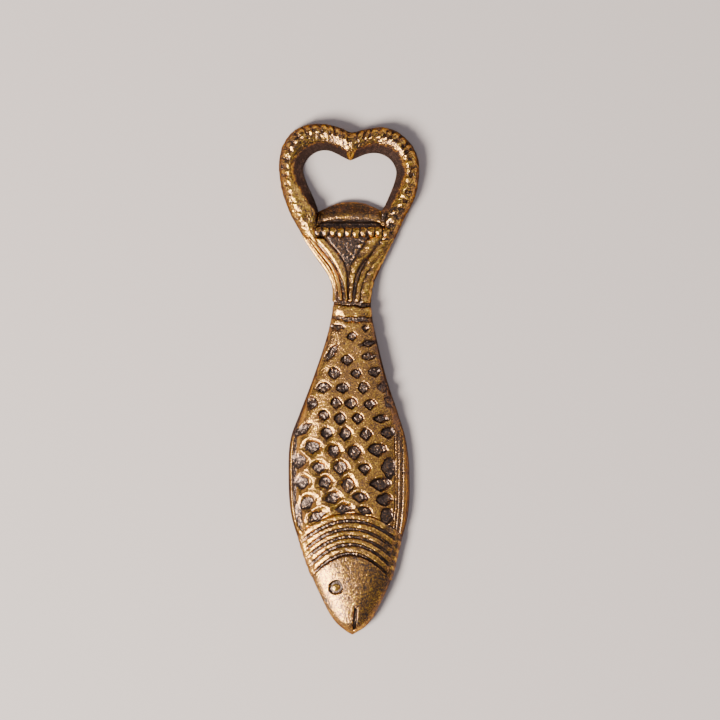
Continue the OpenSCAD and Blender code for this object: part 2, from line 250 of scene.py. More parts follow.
def loft(name, rings, wear_and_shade, node, material, grit=0.5, relief=None):
    """Closed solid through rings of points. Its ends are flat, or bent where relief is the
    number of points on a ring's relief side."""
    rows, n = rings.shape[:2]
    faces = ring_faces(rows, n)
    for row in (0, rows - 1):
        if relief is None:
            faces.append(list(range(row * n, row * n + n)))
        else:
            faces += bent_end(rings[row], relief, row * n)
    new_piece(name, rings.reshape(-1, 3), faces, wear_and_shade.reshape(-1), node, material, grit)


def slab(top, bottom, keep=None):
    """Vertices and faces of a closed layer between two grids, and which grid points it uses.

    keep says which cells of the grid are there; without it, all of them are."""
    rows, cols = top.shape[:2]
    if keep is None:
        keep = np.ones((rows - 1, cols - 1), bool)
    index = np.arange(rows * cols).reshape(rows, cols)
    a, b = index[:-1, :-1], index[:-1, 1:]
    c, d = index[1:, 1:], index[1:, :-1]
    base = rows * cols
    up = np.stack([a, b, c, d], -1)[keep]
    down = up[:, ::-1] + base
    faces = [up, down]
    padded = np.pad(keep, 1)
    for shift, p, q in (((-1, 0), a, b), ((0, 1), b, c), ((1, 0), c, d), ((0, -1), d, a)):
        beside = np.roll(padded, (-shift[0], -shift[1]), (0, 1))[1:-1, 1:-1]
        side = keep & ~beside
        p, q = p[side], q[side]
        faces.append(np.stack([q, p, p + base, q + base], -1))
    faces = np.concatenate(faces)
    used = np.unique(faces)
    renumber = np.full(2 * base, -1)
    renumber[used] = np.arange(len(used))
    verts = np.concatenate([top.reshape(-1, 3), bottom.reshape(-1, 3)])[used]
    return verts, renumber[faces], used


def layer(x, y, lift, wear_and_shade):
    """A raised layer: its upper side, its hidden underside and its wear, which carries painted shade in
    places.
    """
    return on_floor(x, y, lift), on_floor(x, y, np.full(x.shape, -ROOT)), wear_and_shade


def layered_piece(name, layers, node, material, keep=None, grit=0.5):
    """One piece made of one or more separate closed layers."""
    verts, faces, wear_and_shade, count = [], [], [], 0
    for top, bottom, worn in layers:
        v, f, used = slab(top, bottom, keep)
        verts.append(v)
        faces.append(f + count)
        wear_and_shade.append(np.concatenate([worn.reshape(-1)] * 2)[used])
        count += len(v)
    new_piece(name, np.concatenate(verts), np.concatenate(faces).tolist(),
              np.concatenate(wear_and_shade), node, material, grit)


def rim(edge, outward):
    """Lower wall and foot of the rounding between the side of the body and its back."""
    wall = edge - outward * 0.04
    wall[:, 2] = RIM_ROUND * 0.6
    foot = edge - outward * RIM_ROUND
    foot[:, 2] = 0
    return wall[:, None], foot[:, None]


def body_piece(name, x, y, lift, wear_and_shade, node, material, grit=0.5):
    """Solid cut of the body: its relief side, both rims and the flat back."""
    top = on_floor(x, y, lift)
    right = np.array([1.0, 0, 0])
    right_wall, right_foot = rim(top[:, -1], right)
    left_wall, left_foot = rim(top[:, 0], -right)
    t = np.linspace(0, 1, BACK_COLUMNS + 2)[1:-1][None, :, None]
    back = mix(right_foot, left_foot, t)
    rings = np.concatenate([top, right_wall, right_foot, back, left_foot, left_wall], 1)
    worn = np.concatenate([wear_and_shade, np.full((len(x), BACK_COLUMNS + 4), BACK_WEAR)], 1)
    loft(name, rings, worn, node, material, grit, relief=x.shape[1])


# ---------------------------------------------------------------- materials

# Stops by amount of wear and painted shade: colour, how metallic it is, and roughness.
COLOURS = [(0.0, (0.048, 0.032, 0.028)), (0.14, (0.102, 0.070, 0.064)), (0.26, (0.148, 0.100, 0.088)),
           (0.37, (0.200, 0.110, 0.064)), (0.60, (0.388, 0.190, 0.076)), (0.82, (0.63, 0.315, 0.066)),
           (1.0, (0.90, 0.54, 0.10))]
METAL = [(0.0, (0.85,) * 3), (0.3, (1,) * 3), (1.0, (1,) * 3)]
GLOSS = [(0.0, (0.24,) * 3), (0.4, (0.25,) * 3), (0.75, (0.24,) * 3), (1.0, (0.22,) * 3)]
EDGE_TINT = (0.32, 0.26, 0.21, 1)
BLOTCHES, SPECKS, SAND, FINE = 220, 2400, 2700, 5200     # cells of each texture, per metre


def ramp_node(nodes, stops):
    ramp = nodes.new("ShaderNodeValToRGB")
    ramp.color_ramp.elements[0].position = stops[0][0]
    ramp.color_ramp.elements[0].color = (*stops[0][1], 1)
    ramp.color_ramp.elements[1].position = stops[-1][0]
    ramp.color_ramp.elements[1].color = (*stops[-1][1], 1)
    for place, colour in stops[1:-1]:
        ramp.color_ramp.elements.new(place).color = (*colour, 1)
    return ramp


def aged_brass(name, shift, speckle, coarseness):
    """Brass that is dark where its attribute of wear and painted shade is low and golden where it is high.
    """
    material = bpy.data.materials.new(name)
    material.use_nodes = True
    tree = material.node_tree
    nodes, link = tree.nodes, tree.links.new
    shader = nodes["Principled BSDF"]
    shader.inputs["Specular Tint"].default_value = EDGE_TINT
    place = nodes.new("ShaderNodeTexCoord")
    wear_and_shade, coarse = nodes.new("ShaderNodeAttribute"), nodes.new("ShaderNodeAttribute")
    wear_and_shade.attribute_name, coarse.attribute_name = "wear_and_shade", "grit"

    def noise_node(scale, detail, rough=0.55):
        node = nodes.new("ShaderNodeTexNoise")
        node.inputs["Scale"].default_value = scale
        node.inputs["Detail"].default_value = detail
        node.inputs["Roughness"].default_value = rough
        link(place.outputs["Object"], node.inputs["Vector"])
        return node.outputs["Fac"]

    def math_node(kind, a, b, clamp=False):
        node = nodes.new("ShaderNodeMath")
        node.operation = kind
        node.use_clamp = clamp
        for socket, value in zip(node.inputs, (a, b)):
            if isinstance(value, (int, float)):
                socket.default_value = value
            else:
                link(value, socket)
        return node.outputs[0]

    blotch = noise_node(BLOTCHES, 4)
    speck = noise_node(SPECKS, 2, 0.6)
    fine = noise_node(FINE, 1, 0.5)
    uneven = math_node("MULTIPLY_ADD", blotch, 0.5)
    uneven.node.inputs[2].default_value = -0.25 + shift
    grit = math_node("MULTIPLY_ADD", speck, speckle)
    grit.node.inputs[2].default_value = -0.5 * speckle
    cells = nodes.new("ShaderNodeTexVoronoi")
    cells.inputs["Scale"].default_value = SAND
    link(place.outputs["Object"], cells.inputs["Vector"])
    sand = math_node("MULTIPLY", math_node("SUBTRACT", cells.outputs["Color"], 0.5), coarse.outputs["Fac"])
    broad = math_node("ADD", wear_and_shade.outputs["Fac"], uneven)
    amount = math_node("ADD", broad, math_node("ADD", grit, sand), clamp=True)
    for stops, socket in ((COLOURS, "Base Color"), (METAL, "Metallic"), (GLOSS, "Roughness")):
        ramp = ramp_node(nodes, stops)
        link(amount, ramp.inputs[0])
        link(ramp.outputs["Color"], shader.inputs[socket])

    height = math_node("MULTIPLY_ADD", fine, 0.25)
    link(speck, height.node.inputs[2])
    bump = nodes.new("ShaderNodeBump")
    bump.inputs["Strength"].default_value = 1.0
    bump.inputs["Distance"].default_value = coarseness
    link(height, bump.inputs["Height"])
    link(bump.outputs["Normal"], shader.inputs["Normal"])
    return material


BRASS = aged_brass("antique_brass", 0.0, 1.5, 0.00012)
PATINA = aged_brass("patina_brass", -0.02, 1.2, 0.00013)


# ---------------------------------------------------------------- body

GROOVES = [-40.15, -42.45, -44.65, -46.8, -49.45]     # rows of the grooves below each gill band
BANDS_TOP = -37.9     # row where the first gill band begins
NET_END = -38.1       # row where the scale net ends
FIN_TOP = -15.0       # below this row the net stays clear of the fins


def rim_fade(x, y, start=0.93):
    """Relief dies away towards the upright edge of the fish."""
    return 1 - smooth(start, 1.0, np.abs(across(x, y)))


def painted_side_shade(x, y):
    """1 on the steep sides of the fish, where the colour is painted darker as shade that damps the bright
    floor they reflect; less of the left, lit side.
    """
    u = across(x, y)
    start = mix(0.88, 0.76, smooth(-0.3, 0.3, u))
    return smooth(start, start + 0.14, np.abs(u))


def bow_back(x, y):
    """Row of the body that passes through (x, y)."""
    v = y
    for _ in range(4):
        v = y + through(BOW, v) * x * x
    return v


def margin(x, y):
    """Level of the smooth margin that runs along both edges beside the bands."""
    u, row = np.abs(across(x, y)), bow_back(x, y)
    in_bands = smooth(-37.5, -40.5, row) * smooth(-51, -49.5, row)
    return 0.6 * smooth(0.78, 0.92, u) * (1 - smooth(0.96, 1, u)) * in_bands


def make_trunk():
    """Core of the body, with its dark floor hollowed under the pockets."""
    v = np.arange(NECK_Y + 0.6, GROOVES[-1] - 0.8, -0.28)
    x, y = body_grid(v, 230)
    rough = grain(x, y, 11)
    hatch = noise(x * 1.6 + y, y * 0.6 - x, 0.55, 3)
    edge = margin(x, y)
    near_end = smooth(GROOVES[-1] - 0.15, GROOVES[-1] - 0.6, v)[:, None]
    bowl = smooth(0.3, -0.9, pocket_wall(x, y)[0]) * mix(1, 0.4, smooth(-14, -2, y))
    lift = (0.10 * rough + 0.10 * hatch - 0.3 * bowl) * rim_fade(x, y) + edge - TUCK * near_end
    # Painted shade: the pocket floors on the lower left, which face the lamp, are darker to dim their
    # highlight.
    painted_pocket_shade = smooth(-3, -9, x) * smooth(-6, -14, y)
    wear_and_shade = 0.23 - 0.11 * painted_pocket_shade + 0.15 * rough + 0.12 * hatch
    # Painted light: the core is a little lighter on its steep sides; the margin beside the bands is worn
    # golden.
    wear_and_shade = wear_and_shade + np.maximum(0.08 * painted_side_shade(x, y), 0.85 * edge)
    body_piece("trunk_casting", x, y, lift, wear_and_shade, "trunk", PATINA)


# Scale pockets: (x, y, half width, half height, turn in degrees), row by row from the neck.
POCKETS = [
    (-3.4, 14.6, 1.8, 1.0, 0), (4.2, 14.3, 0.9, 1.2, 0),
    (-6.4, 11.4, 1.0, 0.9, 30), (0.6, 11.9, 1.5, 1.4, 10), (4.9, 10.0, 2.4, 0.9, 14),
    (-5.0, 7.3, 3.2, 1.15, 56), (5.1, 6.3, 2.0, 1.2, 8), (-0.8, 5.2, 1.8, 1.6, 0),
    (-9.6, 1.8, 0.9, 1.2, 20), (-4.4, 1.5, 1.8, 1.8, 0),
    (1.7, 1.5, 1.6, 1.4, 0), (6.8, 1.9, 1.7, 1.5, 10),
    (-7.5, -2.5, 2.1, 1.5, 10), (-2.0, -2.7, 1.9, 1.7, 0),
    (3.7, -2.7, 1.7, 1.7, 0), (9.2, -2.4, 1.9, 1.7, 0),
    (-10.5, -7.0, 1.9, 2.0, -12), (-4.0, -6.9, 1.6, 1.7, 0), (0.3, -7.1, 1.8, 1.8, 0),
    (5.7, -7.3, 1.7, 1.6, 0), (11.0, -6.7, 2.1, 1.7, -35),
    (-7.4, -10.5, 1.5, 1.7, 0), (-2.8, -11.4, 1.7, 1.9, 0),
    (2.1, -11.3, 1.8, 1.8, 0), (8.6, -11.3, 2.3, 1.5, 0),
    (-13.1, -14.5, 3.3, 1.35, 38), (-6.7, -15.4, 1.8, 1.8, 0), (-1.4, -15.8, 1.7, 2.0, 0),
    (4.5, -15.8, 1.9, 1.9, 0), (10.6, -15.3, 2.1, 1.9, 0),
    (-10.6, -19.4, 2.2, 2.0, 0), (-4.6, -20.5, 1.9, 1.9, 0),
    (1.3, -20.9, 2.1, 2.0, 0), (7.7, -20.1, 2.7, 2.1, 0),
    (-14.6, -23.4, 2.3, 2.3, 0), (-8.8, -25.3, 1.8, 1.7, 0), (-2.8, -25.4, 2.0, 2.0, 0),
    (4.1, -25.5, 1.8, 1.8, 0), (10.9, -25.2, 2.4, 3.5, 0),
    (-13.6, -29.5, 2.2, 2.1, 0), (-7.1, -29.4, 2.0, 2.0, 20),
    (-0.6, -30.1, 2.1, 2.4, 0), (8.5, -29.9, 3.1, 2.2, 0),
    (-12.3, -35.3, 2.7, 1.8, 32), (-4.9, -33.8, 2.2, 1.8, 15),
    (2.9, -33.6, 2.3, 1.5, -6), (9.8, -34.2, 2.5, 2.0, 10),
    (-9.2, -39.0, 2.9, 1.5, 28), (-2.0, -36.9, 2.6, 1.4, 5),
    (4.3, -37.4, 2.3, 1.2, -15), (10.3, -38.9, 2.1, 2.8, 0), (-14.2, -38.2, 0.9, 2.6, 14),
]
ROUND_TOP, POINTED_FOOT = 1.75, 1.2     # a pocket's outline: 1 is a diamond, 2 an oval
FAR = 9.0             # distance given to places that no pocket is near


def pocket_wall(x, y):
    """Distance from the nearest pocket's outline, negative inside it, and 1 where that is its upper rim."""
    away = np.full(x.shape, FAR)
    above = np.zeros(x.shape)
    for px, py, a, b, turn in POCKETS:
        near = np.hypot(x - px, y - py) < max(a, b) + 3
        t = math.radians(turn)
        dx, dy = x[near] - px, y[near] - py
        u = (dx * math.cos(t) + dy * math.sin(t)) / a
        w = (-dx * math.sin(t) + dy * math.cos(t)) / b
        form = mix(POINTED_FOOT, ROUND_TOP, smooth(-0.5, 0.5, w))
        q = (np.abs(u) ** form + np.abs(w) ** form) ** (1 / form)
        wall = (q - 1) * min(a, b)
        closer = wall < away[near]
        away[near] = np.where(closer, wall, away[near])
        above[near] = np.where(closer, smooth(-0.4, 0.9, (dy - 0.35 * dx) / b), above[near])
    return away, above


# Knots (y, x) of the inner border of the right fin.
FIN_LINE = [(-10, 12.4), (-16, 12.5), (-25, 12.6), (-35, 12.45), (-41, 12.0), (-47, 11.2)]


def fin_line(y):
    """x of the inner border of the right fin."""
    return through(FIN_LINE, y)


def net_height(x, y):
    """Height of the scale net above the floor, as a share of the relief, and where it is worn."""
    wobble = 0.22 * noise(x, y, 1.4, 21) + 0.10 * noise(x, y, 0.6, 23)
    wall, above = pocket_wall(x, y)
    wall = wall + wobble
    below_fin_top = smooth(FIN_TOP + 1.5, FIN_TOP - 0.5, y)
    away_from_fins = 6 * (1 - below_fin_top) + 0.5 * wobble
    left_field = mix(1.75, 2.1, smooth(-38, -30, y))
    wall = np.minimum(wall, x - left_edge(y) - left_field + away_from_fins)
    wall = np.minimum(wall, fin_line(y) - 0.25 - x + away_from_fins)
    soft = smooth(-10, -22, y) * smooth(7, -3, x)
    step = mix(0.97, 0.4, soft)
    sharp_rise = smooth(mix(-0.5, -0.35, soft), 0.12, wall)
    slow_rise = smooth(-0.1, mix(0.8, 1.25, soft), wall)
    net = step * sharp_rise + (1 - step) * slow_rise
    crest = np.exp(-((wall - 0.75) / 0.6) ** 2) * above * soft
    net = net * (0.9 + 0.05 * noise(x, y, 2.2, 22)) + 0.15 * crest
    worn = smooth(-0.26, 0.1, wall)
    start = NECK_Y - 0.2 - 0.75 * smooth(-3, -1, x) + 0.12 * np.sin(2.2 * x)
    net = net * smooth(start, start - 0.6, y)
    net = net * smooth(-0.1, 0.35, y - bow_y(NET_END, x))
    return net, worn


def make_scale_net():
    """Raised net between the pockets; its mesh leaves out the pockets themselves."""
    v = np.arange(NECK_Y - 0.1, -38.9, -0.24)
    x, y = body_grid(v, 250, inset=0.25)
    net, worn = net_height(x, y)
    rough = grain(x, y, 31)
    side_slope = rim_fade(x, y, mix(0.68, 0.86, smooth(-18, -4, y)))
    near_neck = smooth(-14, -2, y)
    relief = RELIEF * (1 - 0.14 * near_neck) + TUCK
    lift = -TUCK + relief * net * side_slope + 0.05 * rough * net * (1 - 0.7 * near_neck)
    rows, columns = (border_steps(count) for count in x.shape)
    lift = np.where((columns[None, :] < 2) | (rows[:, None] < 1), -TUCK, lift)
    # Painted light and shade: near the neck the dark walls are lighter and the net's top darker, and the
    # steep sides are painted darker as shade.
    base = 0.18 + 0.07 * near_neck
    top = 0.7 - 0.05 * near_neck
    wear_and_shade = mix(base, top, worn * smooth(0.02, 0.3, net)) + 0.12 * rough - 0.36 * painted_side_shade(x, y)
    raised = lift > -0.8 * TUCK
    keep = raised[:-1, :-1] | raised[1:, :-1] | raised[:-1, 1:] | raised[1:, 1:]
    layered_piece("scale_net_casting", [layer(x, y, lift, wear_and_shade)],
                  "scale_net", BRASS, keep, 0.22)


def strip_profile(t, sharp=1.0):
    """Rounded ridge: 0 at both borders of the strip, 1 on its crest."""
    return (1 - np.abs(2 * t - 1) ** (2 * sharp)) ** 0.6


HALF_GROOVE = 0.22    # from the centre line of a gill groove to the band beside it
FIN_INSET = 0.2       # from the edge of the fish to the fin


def make_gill_band(i):
    """Raised arc between two gill grooves, tucked under the floor along its borders."""
    start = BANDS_TOP if i == 0 else GROOVES[i - 1] - HALF_GROOVE
    end = GROOVES[i] + HALF_GROOVE
    t = np.linspace(0, 1, 17)
    x, y = body_grid(mix(start, end, t), 230, inset=0.3)
    rough = grain(x, y, 41 + i)
    waves = 0.22 * noise(x, y * 0.4, 2.4, 47 + i) + 0.12 * noise(x, y, 0.7, 57 + i)
    right_side = smooth(6, 11, x)
    ridge = strip_profile(t, 1.6)[:, None] * np.ones_like(x)
    eroded = 0.35 * right_side * (0.5 + 0.5 * noise(x, y, 1.6, 67 + i))
    ridge = np.clip(ridge * (1 - eroded), 0, 1)
    at_side = smooth(0.78, 0.93, np.abs(across(x, y)))
    high = -TUCK + (RELIEF * (0.92 + 0.3 * waves) + TUCK) * ridge
    low = margin(x, y) - 0.12 + 0.26 * ridge
    lift = mix(high, low, at_side) + 0.06 * rough * ridge * rim_fade(x, y)
    lift = np.where(border_steps(x.shape[1])[None, :] < 2, -TUCK, lift)
    # Painted shade darkens the band on the steep sides of the fish.
    wear_and_shade = 0.12 + 0.62 * smooth(0.45, 0.85, ridge + 0.6 * at_side) + 0.16 * rough - 0.3 * painted_side_shade(x, y)
    wear_and_shade = wear_and_shade - 0.25 * right_side * smooth(0.02, 0.14, waves)
    layered_piece(f"gill_band_{i + 1}_casting", [layer(x, y, lift, wear_and_shade)],
                  f"gill_band_{i + 1}", BRASS, grit=0.3)


def long_ridge(near, far, height, seed, top, bottom, fade=3.0, gold=0.55):
    """Ridge along the fish between two curves x(y), which fades in over fade mm and out at its end."""
    y = np.arange(top, bottom, -0.3)[:, None]
    t = np.linspace(0, 1, 15)[None, :]
    x = mix(near(y), far(y), t)
    y = y + 0 * x
    taper = smooth(top, top - fade, y) * smooth(bottom, bottom + 2.5, y)
    rough = grain(x, y, seed)
    ridge = strip_profile(t, 1.3) * taper
    lift = -TUCK + (height + TUCK) * ridge * rim_fade(x, y, 0.9) + 0.05 * rough * ridge
    # Painted shade darkens the ridge on the steep sides of the fish.
    wear_and_shade = 0.2 + gold * smooth(0.2, 0.7, ridge) + 0.12 * rough - 0.16 * painted_side_shade(x, y)
    return layer(x, y, lift, wear_and_shade)


def make_left_fin():
    def inner(y):
        return left_edge(y) + mix(2.6, 1.15, smooth(-44.5, -40.5, y))

    def outer(y):
        return left_edge(y) + FIN_INSET

    ridge = long_ridge(inner, outer, 0.62, 51, -13.5, -45.6, 5)
    layered_piece("left_fin_casting", [ridge], "left_fin", BRASS)


def make_right_fin():
    def outer(y):
        return right_edge(y) - FIN_INSET

    def inner(y):
        return np.minimum(fin_line(y) + 2.25, outer(y) - 0.8)

    def beside_line(distance):
        return lambda y: fin_line(y) + distance

    # The two inner ridges get less gold: painted shade that dims their highlight.
    ridges = [long_ridge(inner, outer, 0.6, 52, -11.5, -45.5),
              long_ridge(beside_line(1.05), beside_line(2.15), 0.36, 53, -12.5, -45, gold=0.34),
              long_ridge(beside_line(0.1), beside_line(1.0), 0.36, 54, -13, -45, gold=0.34)]
    layered_piece("right_fin_casting", ridges, "right_fin", BRASS)


# ---------------------------------------------------------------- head

EYE = (-3.8, -58.9)
PUPIL_R = 1.1
EYE_R = 2.15          # outer radius of the groove round the pupil
MOUTH = ((1.6, -65.2), (1.1, -70.6))     # both ends of the slit
MOUTH_W = 0.36


def distance_to_line(x, y, a, b):
    """Distance to a straight line between two points."""
    ax, ay = a
    bx, by = b
    length = math.hypot(bx - ax, by - ay)
    ux, uy = (bx - ax) / length, (by - ay) / length
    along = np.clip((x - ax) * ux + (y - ay) * uy, 0, length)
    return np.hypot(x - ax - along * ux, y - ay - along * uy)


def make_head():
    """Domed head with the ring groove of the eye and the slit of the mouth."""
    start = GROOVES[-1] + 0.05
    v = np.concatenate([np.arange(start, NOSE_Y + 0.9, -0.2),
                        NOSE_Y + 0.9 * np.linspace(1, 0, 9) ** 2])
    x, y = body_grid(v, 200)
    rough = grain(x, y, 61)
    coarse = noise(x, y, 0.42, 64) + 0.6 * noise(x, y, 0.8, 65)
    edge = margin(x, y) * smooth(start - 1.6, start, v)[:, None]
    crown = RELIEF * smooth(start - 0.1, start - 0.9, v)[:, None]
    crown = crown * rim_fade(x, y, 0.88) * smooth(NOSE_Y, NOSE_Y + 4, y)
    crown = np.maximum(crown, edge) - TUCK * smooth(start - 0.25, start, v)[:, None]
    r = np.hypot((x - EYE[0]) * 1.04, y - EYE[1]) + 0.14 * noise(x, y, 0.8, 62)
    ring = smooth(PUPIL_R - 0.2, PUPIL_R, r) * (1 - smooth(EYE_R - 0.25, EYE_R + 0.1, r))
    socket = 1 - smooth(EYE_R - 0.4, EYE_R + 0.05, r)
    from_mouth = distance_to_line(x, y, *MOUTH) + 0.10 * noise(x, y, 0.5, 63)
    slit = 1 - smooth(MOUTH_W * 0.5, MOUTH_W * 1.6, from_mouth)
    lift = crown + (0.04 * rough + 0.012 * coarse) * rim_fade(x, y) - 0.75 * socket - 0.9 * slit
    back = 1 - smooth(start - 0.2, start - 0.8, v)[:, None]
    # Painted shade darkens the head on its steep sides.
    wear_and_shade = 0.56 + 0.16 * rough + 0.10 * coarse - 0.26 * painted_side_shade(x, y)
    wear_and_shade = wear_and_shade - 0.65 * ring - 0.7 * slit - 0.45 * back * (edge < 0.2)
    body_piece("head_casting", x, y, lift, wear_and_shade, "head", BRASS, 0.62)


def make_eye():
    """Pupil: a small dome on a stem that stands in the ring groove."""
    turns, rings = 40, 12
    a = np.linspace(0, 2 * math.pi, turns, endpoint=False)
    top = on_floor(np.array(EYE[0]), np.array(EYE[1]), np.array(RELIEF))
    rows, wear_and_shade = [], []
    profile = [(PUPIL_R, -1.4)] + [(PUPIL_R * math.cos(t), -0.45 + 0.5 * math.sin(t))
                                   for t in np.linspace(0, math.pi / 2 - 0.12, rings)]
    for r, z in profile:
        ripple = 1 + 0.04 * np.sin(3 * a + 0.7)
        rows.append(np.stack([top[0] + r * ripple * np.cos(a), top[1] + r * ripple * np.sin(a),
                              np.full(turns, top[2] + z)], -1))
        wear_and_shade.append(np.full(turns, 0.35 if z < -0.5 else 0.95))
    loft("eye_casting", np.array(rows), np.array(wear_and_shade), "eye", BRASS)


# ---------------------------------------------------------------- neck and tail

def make_collar():
    """Smooth band round the neck, with a wavy groove above and below it."""
    v = np.linspace(COLLAR_Y + 0.5, NECK_Y - 0.7, 34)
    x, y = body_grid(v, 110)
    rough = grain(x, y, 71)
    upper = COLLAR_Y - 0.05 - 0.09 * (x + 5) + 0.16 * np.sin(1.5 * x)
    lower = NECK_Y + 0.15 + 0.3 * smooth(0, -4, x) + 0.14 * np.sin(1.9 * x + 1)
    gentle = 0.12 + 0.4 * smooth(-1.6, -3.2, x)
    foot = mix(smooth(lower - 0.3, lower + 0.25, y), smooth(lower + 0.1, lower + 1.7, y), gentle)
    band = smooth(upper + 0.35, upper - 0.45, y) * foot
    dip = (smooth(COLLAR_Y + 0.5, COLLAR_Y + 0.1, v) * smooth(NECK_Y - 0.7, NECK_Y - 0.3, v))[:, None]
    side = rim_fade(x, y, 0.86)
    lift = -TUCK * (2 - dip) + (0.8 + TUCK) * band * side + 0.05 * rough * band
    lift = mix(lift, 0, smooth(0.97, 1, np.abs(across(x, y))) * dip)
    golden = np.maximum(smooth(0.2, 0.5, band), 0.5 * (1 - side))
    # Painted shade darkens the collar on its steep sides.
    wear_and_shade = 0.12 + 0.6 * golden + 0.14 * rough - 0.25 * painted_side_shade(x, y)
    body_piece("neck_collar_casting", x, y, lift, wear_and_shade, "neck_collar", BRASS)


# Knots (y, x) of the two sides of the throat.
THROAT_LEFT = [(32.4, -0.2), (34, -1.5), (36, -3.0), (38, -4.7), (40.8, -6.9)]
THROAT_RIGHT = [(32.4, 0.4), (34, 1.4), (36, 2.8), (38, 4.2), (40.8, 6.0)]
# Bright crumbs of metal on its floor: (x, y, radius).
CRUMBS = [(3.0, 37.9, 0.6), (1.6, 36.6, 0.35), (0.4, 35.6, 0.3), (-1.8, 38.4, 0.25), (1.2, 34.6, 0.3)]


def make_tail_plate():
    """Thin fan that carries the ribs, a little narrower where the loop covers its corners."""
    v = np.arange(SHOULDER_Y - 0.6, COLLAR_Y - 0.4, -0.3)
    x, y = body_grid(v, 170, inset=0.4 * smooth(41.5, 43.4, v))
    rough = grain(x, y, 81)
    lift = 0.09 * rough * rim_fade(x, y)
    wear_and_shade = 0.33 + 0.2 * rough
    body_piece("tail_plate_casting", x, y, lift, wear_and_shade, "tail_plate", PATINA)


# Ribs of the fan: knots (y, x, half width) of each centre line, and a height.
RIBS_LEFT = [
    ([(21.7, -0.8, 0.32), (25.5, -1.1, 0.48), (29, -1.6, 0.85), (32, -2.6, 1.15), (35.2, -4.5, 1.25),
      (38.2, -7.0, 1.2), (41, -9.4, 1.1)], 1.0),
    ([(21.9, -2.25, 0.45), (25, -2.65, 0.48), (28.4, -3.4, 0.5), (31.8, -4.75, 0.5), (34.4, -6.6, 0.48),
      (37, -8.7, 0.45), (41.3, -11.9, 0.4)], 0.85),
    ([(24.5, -3.35, 0.2), (28.4, -4.25, 0.3), (31.5, -5.65, 0.34), (34.2, -7.6, 0.34), (37, -9.7, 0.32),
      (41.5, -12.7, 0.3)], 0.6),
    ([(21.5, -4.15, 0.42), (25.6, -4.05, 0.42), (28.7, -4.85, 0.42), (31.3, -6.3, 0.45), (34.1, -8.3, 0.5),
      (37, -10.35, 0.5), (42.2, -13.8, 0.5)], 0.8)]
RIBS_RIGHT = [
    ([(21.6, 0.1, 0.5), (26.7, 0.4, 0.62), (30.4, 0.95, 0.85), (33, 2.2, 1.15), (36.4, 4.7, 1.45),
      (39.5, 7.1, 1.6), (41.5, 8.5, 1.5)], 0.95),
    ([(21.5, 1.9, 0.6), (26.2, 2.6, 0.68), (29.6, 3.7, 0.75), (32.4, 5.3, 0.9), (35.3, 7.4, 1.1),
      (38.7, 9.9, 1.25), (40.5, 11.1, 1.2)], 0.8),
    ([(21.2, 4.4, 1.05), (26.2, 4.85, 1.05), (29, 5.6, 1.0), (31.8, 7.0, 1.0), (34.7, 8.9, 0.95),
      (38.7, 11.2, 0.9), (41, 12.6, 0.8)], 0.8)]


def rib(knots, height, seed, blur):
    """One raised rib of the fan along its centre line; blur 1 is a broad, worn one, 0 a crisp one."""
    low, high = knots[0][0], knots[-1][0]
    y = np.arange(low, high, 0.26)[:, None]
    t = np.linspace(0, 1, 17)[None, :]
    line = through(knots, y[:, 0])
    wobble = 0.10 * blur * noise(y, y * 0 + seed, 1.2, seed)
    reach = line[:, 1:] * (1.02 + 0.3 * smooth(0.55, 1.0, line[:, 1:]) + 0.35 * blur)
    x = line[:, :1] + wobble + (2 * t - 1) * reach
    x = np.clip(x, left_edge(y) + 0.15, right_edge(y) - 0.15) + 0.02 * t
    y = y + 0 * x
    rough = grain(x, y, seed)
    ridge = strip_profile(t ** mix(0.62, 1.0, blur), mix(0.9, 1.1, blur)) * np.ones_like(x)
    ends = smooth(low, low + 0.6, y) * smooth(high, high - 1.4, y)
    eroded = 0.3 * blur * (0.5 + 0.5 * noise(x, y, 0.9, seed + 1))
    ridge = np.clip(ridge * ends * (1 - eroded), 0, 1)
    lift = -TUCK + (height * rim_fade(x, y, 0.94) + TUCK) * ridge + (0.03 + 0.06 * blur) * rough * ridge
    wear_and_shade = 0.28 + 0.5 * smooth(0.45, 0.88, ridge) + 0.16 * rough
    # Painted shade: the rib is darker where it reaches the steep edge of the fish.
    wear_and_shade = wear_and_shade - 0.25 * smooth(0.93, 1.0, np.abs(across(x, y)))
    return layer(x, y, lift, wear_and_shade)


def make_ribs(side, ribs, blur):
    layers = [rib(knots, height, 90 + 4 * k + 20 * blur, blur) for k, (knots, height) in enumerate(ribs)]
    layered_piece(f"tail_rays_{side}_casting", layers, f"tail_rays_{side}", BRASS)


def make_throat():
    """Rough floor of the triangle between the ribs."""
    columns = 44
    y = np.linspace(THROAT_LEFT[0][0], THROAT_LEFT[-1][0], 38)[:, None]
    t = np.linspace(0, 1, columns)[None, :]
    x = mix(through(THROAT_LEFT, y) - 0.3, through(THROAT_RIGHT, y) + 0.3, t)
    y = y + 0 * x
    rough = grain(x, y, 101)
    lift = 0.14 + 0.13 * rough
    wear_and_shade = 0.24 + 0.2 * rough
    for px, py, r in CRUMBS:
        crumb = smooth(1.3 * r, 0.3 * r, np.hypot(x - px, y - py))
        lift = lift + 0.45 * r * crumb
        wear_and_shade = wear_and_shade + 0.7 * crumb
    border = np.minimum(np.minimum(t, 1 - t) * columns, 1)
    layered_piece("throat_panel_casting", [layer(x, y, mix(-TUCK, lift, border), wear_and_shade)],
                  "throat_panel", PATINA)


BAR_Y, BAR_Z = 41.5, 4.95     # the bar's axis
BEAD_PITCH = 2.15
BEAD_COUNT = 10
BEAD_FIRST_X = -9.05


